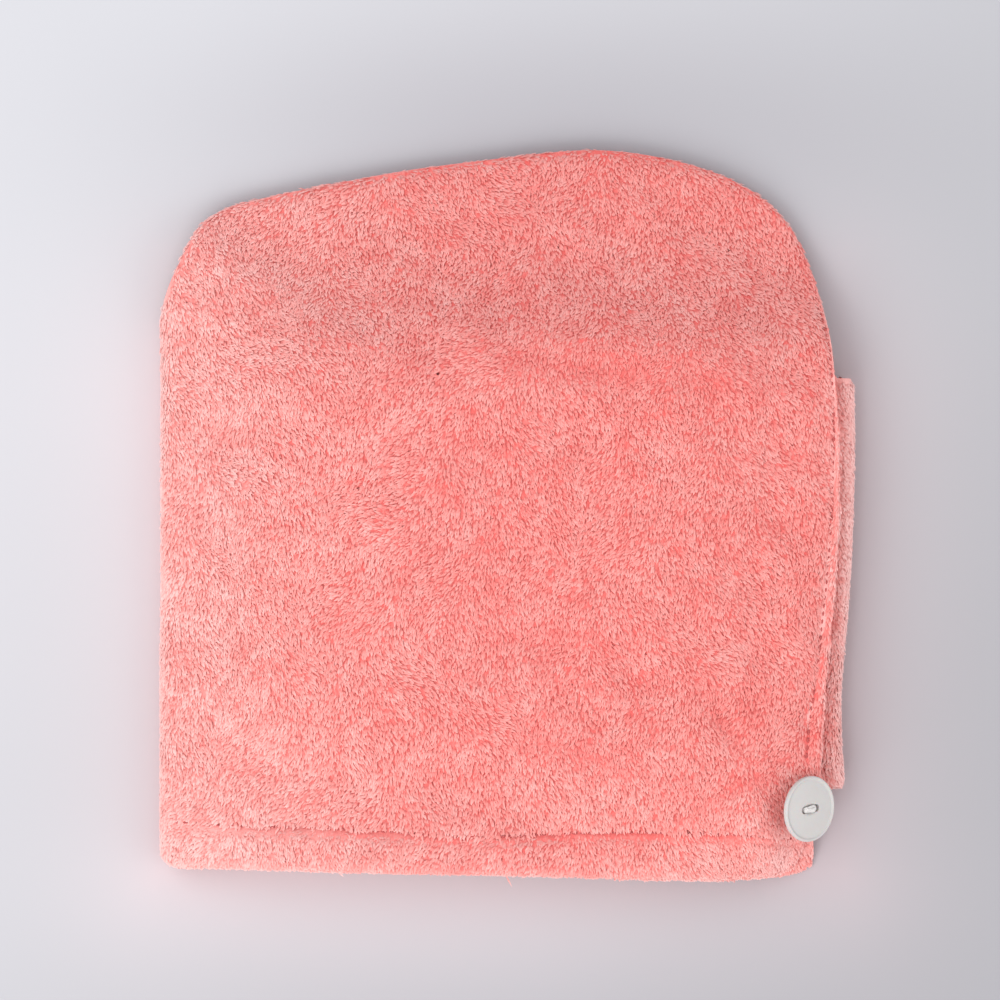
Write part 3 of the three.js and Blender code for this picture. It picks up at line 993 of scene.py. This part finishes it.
def dress(
    piece: bpy.types.Object, finish: bpy.types.Material, node: str | None = None
) -> bpy.types.Object:
    """Gives a piece its finish and its body.

    Args:
        piece: the piece.
        finish: its material.
        node: the CAD node that it replaces, if any.

    Returns:
        The piece.
    """
    piece.data.materials.clear()
    piece.data.materials.append(finish)
    if node is not None:
        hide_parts(node)
    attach(piece, "root")
    log.info("%s: %d faces", piece.name, len(piece.data.polygons))
    return piece


# Button, its thread and the rows of stitches


def lathe(profile: Sequence[tuple[float, float]], steps: int) -> bmesh.types.BMesh:
    """Spins a profile about Z.

    Args:
        profile: radius and height of each corner, in metres.
        steps: how many steps round.

    Returns:
        The closed shape.
    """
    work = bmesh.new()
    verts = [work.verts.new((radius, 0, height)) for radius, height in profile]
    edges = [work.edges.new(pair) for pair in zip(verts[:-1], verts[1:])]
    bmesh.ops.spin(
        work, geom=verts + edges, axis=(0, 0, 1), cent=(0, 0, 0), angle=2 * math.pi, steps=steps,
        use_merge=True,
    )
    bmesh.ops.remove_doubles(work, verts=work.verts, dist=0.004 * MM)
    bmesh.ops.recalc_face_normals(work, faces=work.faces)
    return work


def strand(name: str, path: Sequence[Vector], radius: float, sides: int = 2) -> bpy.types.Object:
    """A round strand along a smooth path.

    Args:
        name: the piece's name.
        path: its points.
        radius: of the strand, in metres.
        sides: how finely it is rounded.

    Returns:
        The strand as a mesh with closed ends.
    """
    curve = bpy.data.curves.new(name, "CURVE")
    curve.dimensions = "3D"
    curve.bevel_depth = radius
    curve.bevel_resolution = sides
    curve.use_fill_caps = True
    curve.resolution_u = 5
    line = curve.splines.new("NURBS")
    line.points.add(len(path) - 1)
    for point, at in zip(line.points, path):
        point.co = (*at, 1)
    line.use_endpoint_u = True
    line.order_u = 4
    made = bpy.data.objects.new(name, curve)
    bpy.context.scene.collection.objects.link(made)
    graph = bpy.context.evaluated_depsgraph_get()
    mesh = bpy.data.meshes.new_from_object(made.evaluated_get(graph))
    bpy.data.objects.remove(made)
    mesh.shade_smooth()
    return mesh_object(name, mesh)


def as_one(name: str, parts: Sequence[bpy.types.Object]) -> bpy.types.Object:
    """Joins pieces in one mesh.

    Args:
        name: the joined piece's name.
        parts: the pieces, which are used up.

    Returns:
        The joined piece.
    """
    work = bmesh.new()
    for part in parts:
        work.from_mesh(part.data)
        bpy.data.objects.remove(part)
    return finished(work, name)


@dataclass
class SewnButton:
    """The round button and the thread that holds it.

    Args:
        at: the middle of its back, in metres.
        tilt: of its axis from upright, in degrees.
        lean: the way it tilts, in degrees from +X.
        turn: of its eye on its face, in degrees.
        radius: of the disc, in metres.
        thickness: from the flat of its back to the top of its rim, in metres.
        rim: the rim's width, in metres.
        rim_rise: the rim's height over the face, in metres.
        dome: how far the face rises in the middle, in metres.
        back_rise: how far the back curves up to the edge, in metres.
        eye: half length, half width and depth of the hollow round the holes, in metres.
        hole_spacing: between the holes' middles, in metres.
        hole_radius: of each hole, in metres.
        thread_radius: of each strand, in metres.
    """

    at: tuple[float, float, float] = (100.6443 * MM, -99.6183 * MM, 23.3804 * MM)
    tilt: float = 42.0
    lean: float = -8.0
    turn: float = 5.6
    radius: float = 11.25 * MM
    thickness: float = 3.2 * MM
    rim: float = 1.2 * MM
    rim_rise: float = 0.35 * MM
    dome: float = 0.35 * MM
    back_rise: float = 1.7 * MM
    eye: tuple[float, float, float] = (4.3 * MM, 2.2 * MM, 0.9 * MM)
    hole_spacing: float = 5.4 * MM
    hole_radius: float = 1.3 * MM
    thread_radius: float = 0.48 * MM

    def stand(self) -> Matrix:
        """Where the button stands.

        Returns:
            The matrix from its own axes to the frame.
        """
        heading = math.radians(self.lean)
        across = Vector((-math.sin(heading), math.cos(heading), 0))
        tip = Matrix.Rotation(math.radians(self.tilt), 4, across)
        spin = Matrix.Rotation(math.radians(self.turn), 4, "Z")
        return Matrix.Translation(self.at) @ tip @ spin

    def profile(self) -> list[tuple[float, float]]:
        """The button's section, from the middle of its back to the middle of its face.

        Returns:
            Radius and height of each corner.
        """
        face = self.thickness - self.rim_rise
        flat = 0.55
        back = [(0.0, 0.0), (flat * self.radius, 0.0)]
        for step in range(1, 9):
            share = flat + (0.97 - flat) * step / 8
            rise = self.back_rise * ((share - flat) / (1 - flat)) ** 2
            back.append((share * self.radius, rise))
        edge_low = back[-1][1]
        middle = (edge_low + self.thickness) / 2
        half = (self.thickness - edge_low) / 2
        bulge = 0.03 * self.radius
        edge = []
        for step in range(1, 8):
            angle = -math.pi / 2 + math.pi * step / 9
            edge.append(
                (0.97 * self.radius + bulge * math.cos(angle), middle + half * math.sin(angle))
            )
        inner = self.radius - self.rim
        rim = [
            (self.radius - 0.35 * self.rim, self.thickness - 0.01 * MM),
            (self.radius - 0.5 * self.rim, self.thickness),
            (self.radius - 0.68 * self.rim, self.thickness - 0.1 * self.rim_rise),
            (self.radius - 0.84 * self.rim, self.thickness - 0.6 * self.rim_rise),
            (inner, face + 0.06 * self.rim_rise),
            (inner - 0.25 * MM, face),
        ]
        top = []
        steps = 34
        for step in range(1, steps + 1):
            radius = (inner - 0.25 * MM) * (1 - step / steps)
            top.append((radius, face + self.dome * (1 - (radius / inner) ** 2)))
        return back + edge + rim + top

    def build(self) -> list[bpy.types.Object]:
        """Makes the button and its thread.

        Returns:
            Both pieces.
        """
        work = lathe(self.profile(), 96)
        long, wide, deep = self.eye
        level = self.thickness - self.rim_rise - 0.3 * MM
        for vert in work.verts:
            out = math.hypot(vert.co.x / long, vert.co.y / wide)
            if vert.co.z > level and out < 1:
                fall = 0.5 + 0.5 * math.cos(math.pi * min(max((out - 0.45) / 0.55, 0), 1))
                vert.co.z -= deep * fall
        disc = finished(work, "button_disc")
        drill = bmesh.new()
        for side in (-1, 1):
            made = bmesh.ops.create_cone(
                drill, cap_ends=True, segments=40, radius1=self.hole_radius,
                radius2=self.hole_radius, depth=20 * MM,
            )
            shift = (side * self.hole_spacing / 2, 0, 0)
            bmesh.ops.translate(drill, verts=made["verts"], vec=shift)
        cutter = finished(drill, "hole_drill")
        holes = disc.modifiers.new("holes", "BOOLEAN")
        holes.operation, holes.object, holes.solver = "DIFFERENCE", cutter, "EXACT"
        with_modifiers(disc)
        bpy.data.objects.remove(cutter)
        thread = self.thread()
        for piece in (disc, thread):
            piece.data.transform(self.stand())
            piece.data.shade_smooth()
        disc.data.set_sharp_from_angle(angle=math.radians(38))
        return [disc, thread]

    def thread(self) -> bpy.types.Object:
        """Makes the strands that go through the two holes.

        Returns:
            The joined strands.
        """
        floor = self.thickness - self.rim_rise + self.dome - self.eye[2]
        across = self.hole_spacing / 2
        strands = []
        lies = [(-0.75, 0.5), (0.7, 0.55), (-0.05, 0.9), (0.15, 0.3)]
        for number, (aside, over) in enumerate(lies):
            shift = aside * MM
            top = floor + over * MM
            gather = 0.5 * shift
            twist = 0.25 * MM * (-1) ** number
            halves = [
                [
                    Vector((side * (across - 0.1 * MM), gather, 0.1 * MM)),
                    Vector((side * (across - 0.1 * MM), gather, 0.5 * floor)),
                    Vector((side * (across - 0.15 * MM), gather, floor)),
                    Vector((side * (across - 0.5 * MM), shift * 0.8, top + 0.1 * MM)),
                    Vector((side * 0.8 * MM, shift - side * twist, top + 0.15 * MM)),
                ]
                for side in (-1, 1)
            ]
            path = halves[0] + halves[1][::-1]
            strands.append(strand(f"strand_{number}", path, self.thread_radius))
        return as_one("button_sewing", strands)


@dataclass
class StitchRow:
    """Stitches along a seam.

    Args:
        name: the piece's name.
        seam: the row.
        length: of a stitch, in metres.
        radius: of its thread, in metres.
    """

    name: str
    seam: SeamLine
    length: float = 1.9 * MM
    radius: float = 0.42 * MM

    def build(self, solids: BVHTree) -> bpy.types.Object:
        """Lays the stitches on the cloth.

        Args:
            solids: all the cloth.

        Returns:
            The joined stitches.
        """
        work = bmesh.new()
        for middle, way in self.seam.places():
            ends = []
            for side in (-0.5, 0.5):
                spot = middle + way * self.length * side
                above = Vector((spot.x, spot.y, 60 * MM))
                hit = solids.ray_cast(above, Vector((0, 0, -1)))
                if hit[0] is not None:
                    ends.append(hit[0] + hit[1] * self.radius * 0.5)
            if len(ends) < 2:
                continue
            run = ends[1] - ends[0]
            made = bmesh.ops.create_uvsphere(work, u_segments=8, v_segments=6, radius=self.radius)
            stretch = Matrix.Diagonal((1, 1, run.length / (2 * self.radius), 1))
            turn = run.to_track_quat("Z", "X").to_matrix().to_4x4()
            stand = Matrix.Translation((ends[0] + ends[1]) / 2) @ turn @ stretch
            bmesh.ops.transform(work, matrix=stand, verts=made["verts"])
        return finished(work, self.name)


# Finishes


def linear(red: int, green: int, blue: int) -> tuple[float, float, float]:
    """A screen colour as linear light.

    Args:
        red: from 0 to 255.
        green: from 0 to 255.
        blue: from 0 to 255.

    Returns:
        The linear colour.
    """
    parts = [value / 255 for value in (red, green, blue)]
    return tuple(p / 12.92 if p <= 0.04045 else ((p + 0.055) / 1.055) ** 2.4 for p in parts)


@dataclass(frozen=True)
class PileFinish:
    """Salmon pink pile, deeper in colour at its roots as painted shade between the tufts, and
    paler with painted sheen and light.

    Args:
        name: the material's name.
        root: the roots' colour, darkened as painted shade between the tufts.
        middle: the colour half way up.
        tip: the tips' colour.
        brushed: the pale colour of the painted sheen and light at the folds, the rims, the left
            and the hem.
    """

    name: str
    root: tuple[float, float, float] = linear(228, 107, 102)
    middle: tuple[float, float, float] = linear(232, 138, 132)
    tip: tuple[float, float, float] = linear(235, 162, 156)
    brushed: tuple[float, float, float] = linear(248, 198, 193)

    def make(self) -> bpy.types.Material:
        """Makes the material.

        Returns:
            The material.
        """
        maker = NodeMaker(self.name)
        rise = maker.attribute("rise")
        tone = maker.attribute("tone")
        at = maker.place()
        broad = maker.noise(at, 38, 2.0)
        patches = maker.noise(at, 105, 2.0)
        # The roots' deep colour is painted shade between the tufts; the top stop is painted sheen
        # and light.
        stops = [(0.0, self.root), (0.33, self.middle), (0.66, self.tip), (1.0, self.brushed)]
        level = rise + (tone - 0.5) * 0.5 + (broad - 0.5) * 0.28 + (patches - 0.5) * 0.42
        high = maker.band(level, 0.0, 1.68, 0.0, 1.0)
        colour = maker.node("ShaderNodeValToRGB", {"stops": stops}, {"Fac": high})
        return maker.finish(
            Base_Color=colour,
            Roughness=0.9,
            Specular_IOR_Level=0.1,
            Sheen_Weight=0.55,
            Sheen_Roughness=0.5,
            Sheen_Tint=linear(255, 224, 220),
        )


@dataclass(frozen=True)
class BackingFinish:
    """The cloth between the tufts, with a fine pile: deep pink as painted shade between the tufts,
    and paler with painted sheen and light.

    Args:
        name: the material's name.
    """

    name: str

    def make(self) -> bpy.types.Material:
        """Makes the material.

        Returns:
            The material.
        """
        maker = NodeMaker(self.name)
        at = maker.place((1, 0.35, 1))
        strokes = maker.noise(at, 950, 3.0, 0.6)
        patches = maker.noise(maker.place(), 60, 2.0)
        share = maker.band(strokes + (patches - 0.5) * 0.3, 0.35, 0.68, 0.0, 1.0)
        # The deep pink is painted shade between the tufts.
        deep = maker.mix(share, linear(230, 106, 101), linear(238, 136, 130))
        # Paler where the cloth's painted sheen and light attribute is high.
        brushed = maker.band(maker.attribute("brushed"), 0.2, 1.2, 0.0, 1.0)
        colour = maker.mix(brushed, deep, linear(244, 176, 170))
        maker.bump(strokes, 0.6, 0.6 * MM)
        return maker.finish(
            Base_Color=colour,
            Roughness=0.9,
            Specular_IOR_Level=0.1,
            Sheen_Weight=0.7,
            Sheen_Roughness=0.5,
            Sheen_Tint=linear(255, 205, 200),
        )


@dataclass(frozen=True)
class ButtonFinish:
    """Off-white moulded plastic with a faint grain and a cloudy tone.

    Args:
        name: the material's name.
    """

    name: str

    def make(self) -> bpy.types.Material:
        """Makes the material.

        Returns:
            The material.
        """
        maker = NodeMaker(self.name)
        cloudy = maker.noise(maker.place(), 210, 3.0)
        fine = maker.noise(maker.place(), 2600, 2.0)
        colour = maker.mix(cloudy, linear(191, 187, 184), linear(199, 195, 192))
        maker.bump(fine, 0.12, 0.05 * MM)
        return maker.finish(
            Base_Color=colour,
            Roughness=maker.band(cloudy, 0.3, 0.7, 0.3, 0.42),
            Specular_IOR_Level=0.45,
            Subsurface_Weight=0.15,
            Subsurface_Scale=1.5 * MM,
        )


@dataclass(frozen=True)
class ThreadFinish:
    """Spun thread with its twist, darker between the strands as painted shade.

    Args:
        name: the material's name.
        groove_shade: the colour between the strands, painted shade in the grooves.
        light: on the strands.
    """

    name: str
    groove_shade: tuple[float, float, float]
    light: tuple[float, float, float]

    def make(self) -> bpy.types.Material:
        """Makes the material.

        Returns:
            The material.
        """
        maker = NodeMaker(self.name)
        settings = {"wave_type": "BANDS", "bands_direction": "DIAGONAL"}
        inputs = {"Vector": maker.place(), "Scale": 900, "Distortion": 1.2, "Detail": 1.0}
        twist = maker.node("ShaderNodeTexWave", settings, inputs, "Fac")
        maker.bump(twist, 0.5, 0.12 * MM)
        return maker.finish(
            # The twist's dark bands are painted shade between the strands.
            Base_Color=maker.mix(twist, self.groove_shade, self.light),
            Roughness=0.75,
            Sheen_Weight=0.2,
        )


@dataclass(frozen=True)
class FloorFinish:
    """The pale table that the towel lies on, with a painted falloff of light across it, painted
    pink bounce light from the towel beside and below it, a painted pool of light in front of the
    towel and a painted shadow behind it.

    Args:
        name: the material's name.
    """

    name: str = "pale_table"

    def make(self) -> bpy.types.Material:
        """Makes the material.

        Returns:
            The material.
        """
        maker = NodeMaker(self.name)
        spot = maker.node("ShaderNodeSeparateXYZ", {}, {"Vector": maker.place()}, "X")
        high = Wire(maker, spot.socket.node.outputs["Y"])
        # Painted falloff of light: the floor is paler towards the upper left.
        painted_falloff = maker.band(high - spot, -0.34, 0.34, 0.0, 1.0)
        soft = maker.noise(maker.place(), 6, 2.0)
        share = painted_falloff * 0.94 + soft * 0.06
        pale = maker.mix(share, linear(159, 158, 162), linear(200, 200, 204))
        aside = maker.maths("MAXIMUM", maker.maths("ABSOLUTE", spot + 0.002) - 0.117, 0.0)
        beyond = maker.maths("MAXIMUM", maker.maths("ABSOLUTE", high + 0.016) - 0.106, 0.0)
        away = maker.maths("SQRT", aside**2 + beyond**2)
        # Painted pink bounce light from the towel on the floor beside and below it.
        near = maker.maths("EXPONENT", away * -42.0) * maker.band(high, 0.03, 0.12, 1.0, 0.2)
        painted_bounce = maker.times(maker.times(pale, (1.0, 0.88, 0.88)), (1.28, 1.27, 1.26))
        colour = maker.mix(near, pale, painted_bounce)
        # A painted pool of light in front of the towel and a painted shadow behind it.
        painted_front_light = ((high + 0.132) * 30.0) ** 2 + (spot * 9.0) ** 2
        painted_back_shadow = ((high - 0.13) * 24.0) ** 2 + ((spot - 0.01) * 8.0) ** 2
        for fall, factors in ((painted_front_light, (1.2, 1.2, 1.2)), (painted_back_shadow, (0.8, 0.78, 0.79))):
            share = maker.maths("EXPONENT", fall * -1.0)
            colour = maker.mix(share, colour, maker.times(colour, factors))
        return maker.finish(Base_Color=colour, Roughness=0.75, Specular_IOR_Level=0.2)


# Stage


@dataclass
class Stage:
    """Camera, floor and studio light.

    Args:
        frame_width: the width of the picture at the towel, in metres.
        middle: the X and Y that the camera looks at, in metres.
        distance: from the floor to the camera, in metres.
        focus_height: the height at which frame_width is measured, in metres.
    """

    frame_width: float = 340.0 * MM
    middle: tuple[float, float] = (-2.5 * MM, 4.8 * MM)
    distance: float = 3.5
    focus_height: float = 12 * MM

    def camera(self) -> None:
        """Looks straight down."""
        lens = bpy.data.cameras.new("overhead_camera")
        lens.sensor_width = 36
        lens.lens = 36 * (self.distance - self.focus_height) / self.frame_width
        lens.clip_start, lens.clip_end = 0.05, 20
        holder = bpy.data.objects.new("overhead_camera", lens)
        holder.location = (*self.middle, self.distance)
        bpy.context.scene.collection.objects.link(holder)
        bpy.context.scene.camera = holder

    def lamp(
        self, name: str, place: Sequence[float], size: float, watts: float, colour: Sequence[float]
    ) -> None:
        """Adds a square soft box that points at the towel.

        Args:
            name: its name.
            place: where it is.
            size: its side in metres.
            watts: its power.
            colour: of its light.
        """
        light = bpy.data.lights.new(name, "AREA")
        light.shape, light.size, light.energy, light.color = "SQUARE", size, watts, colour
        holder = bpy.data.objects.new(name, light)
        holder.location = place
        holder.rotation_euler = (-Vector(place)).to_track_quat("-Z", "Y").to_euler()
        bpy.context.scene.collection.objects.link(holder)

    def build(self) -> None:
        """Makes the floor, the lights and the even light of the room."""
        scene = bpy.context.scene
        work = bmesh.new()
        bmesh.ops.create_grid(work, x_segments=1, y_segments=1, size=2.5)
        floor = finished(work, "studio_floor")
        floor.data.materials.append(FloorFinish().make())
        self.lamp("key_soft_box", (-0.75, -1.05, 1.15), 1.2, 16.0, (1.0, 0.985, 0.97))
        self.lamp("right_soft_box", (1.3, -0.45, 0.75), 1.3, 7.5, (1.0, 0.98, 0.97))
        self.lamp("upper_left_soft_box", (-1.0, 0.5, 1.4), 1.4, 8.5, (0.98, 0.99, 1.0))
        world = bpy.data.worlds.new("studio_room")
        world.use_nodes = True
        background = world.node_tree.nodes["Background"]
        background.inputs["Color"].default_value = (0.96, 0.97, 1.0, 1)
        background.inputs["Strength"].default_value = 0.84
        scene.world = world
        scene.view_settings.view_transform = "Standard"
        scene.view_settings.look = "None"


HEM_SEAM = SeamLine(
    (
        (-112.0, -104.8), (-100.0, -105.4), (-89.6, -106.1), (-69.2, -106.1), (-58.9, -106.7),
        (-48.7, -107.3), (-38.4, -107.8), (-28.2, -108.6), (-17.9, -109.3), (2.6, -109.2),
        (12.8, -108.6), (23.0, -108.2), (43.5, -107.9), (64.0, -108.1), (84.5, -109.0),
        (94.8, -110.3), (110.0, -110.5),
    )
)
RIM_SEAM = SeamLine(
    (
        (101.4, -82.0), (102.2, -73.1), (104.0, -59.4), (106.2, -42.0), (108.1, -25.3),
        (109.6, -8.0), (110.3, 9.0), (110.8, 24.0), (110.6, 40.0), (109.4, 56.0), (106.0, 70.0),
    ),
    pull=1.8,
)
DENTS = (
    Dent(-95.8, 29.4, 6, 5, 0, 0.7),
    Dent(-84.5, -83.3, 7, 5, 20, 0.6),
    Dent(-54.8, -38.9, 8, 6, 0, 0.5),
    Dent(42.9, -56.0, 9, 6, 30, 0.5),
    Dent(94.1, 22.5, 5, 4, 0, 1.3),
    Dent(92.0, -1.4, 5, 4, 0, 1.2),
    Dent(86.2, 84.0, 6, 4, -20, 1.0),
    Dent(52.1, 111.3, 14, 4, 0, 0.8),
    Dent(14.5, -40.6, 18, 5, 0, 0.9),
    Dent(38.0, 50.5, 42, 5, -3, 1.2),
    Dent(-42.0, 73.8, 34, 2.5, 0, 0.6),
    Dent(92.0, -99.4, 4, 6, 0, 0.7),
    Dent(20.0, -76.5, 30, 3, -24, 1.0),
    Dent(75.0, -72.0, 26, 3, -58, 1.0),
    Dent(78.0, -90.0, 24, 3, 28, 1.1),
)


def main() -> None:
    """Builds and dresses the towel."""
    logging.basicConfig(level=logging.INFO, format="%(name)s: %(message)s")
    stage = Stage()
    stage.camera()
    seams = (HEM_SEAM, RIM_SEAM)
    outer = ClothPanel("outer_panel", "outer_cloth", dents=DENTS, seams=seams).build()
    inner = ClothPanel("inner_panel", "inner_cloth").build()
    backing = BackingFinish("plush_backing").make()
    dress(outer, backing, "outer_panel")
    dress(inner, backing, "inner_panel")
    solids = bmesh.new()
    for cloth in (outer, inner):
        solids.from_mesh(cloth.data)
    tree = BVHTree.FromBMesh(solids)
    solids.free()
    cloths = [Surface.of(outer), Surface.of(inner)]
    thinned = 1
    piles = [
        Pile(
            Side.UPPER, 109000 // thinned, length=3.5 * MM, height=0.54 * MM, width=0.92 * MM,
            softness=0.72, seams=seams, dents=DENTS,
        ),
        Pile(
            Side.UNDER, 20000 // thinned, length=3.2 * MM, height=0.62 * MM, width=1.5 * MM,
            softness=0.3,
        ),
    ]
    pile_finish = PileFinish("salmon_pile").make()
    tufted = [piece for pile in piles for piece in pile.plant(cloths, tree)]
    grown = [dress(piece, pile_finish) for piece in tufted]
    sewing = ThreadFinish("pink_thread", linear(168, 64, 62), linear(206, 98, 95)).make()
    for row in (StitchRow("hem_stitches", HEM_SEAM), StitchRow("rim_stitches", RIM_SEAM)):
        grown.append(dress(row.build(tree), sewing))
    disc, thread = SewnButton().build()
    white = ThreadFinish("white_thread", linear(206, 201, 198), linear(228, 224, 221)).make()
    dress(disc, ButtonFinish("button_plastic").make(), "button")
    dress(thread, white, "button_thread")
    stage.build()


if __name__ == "__main__":
    main()
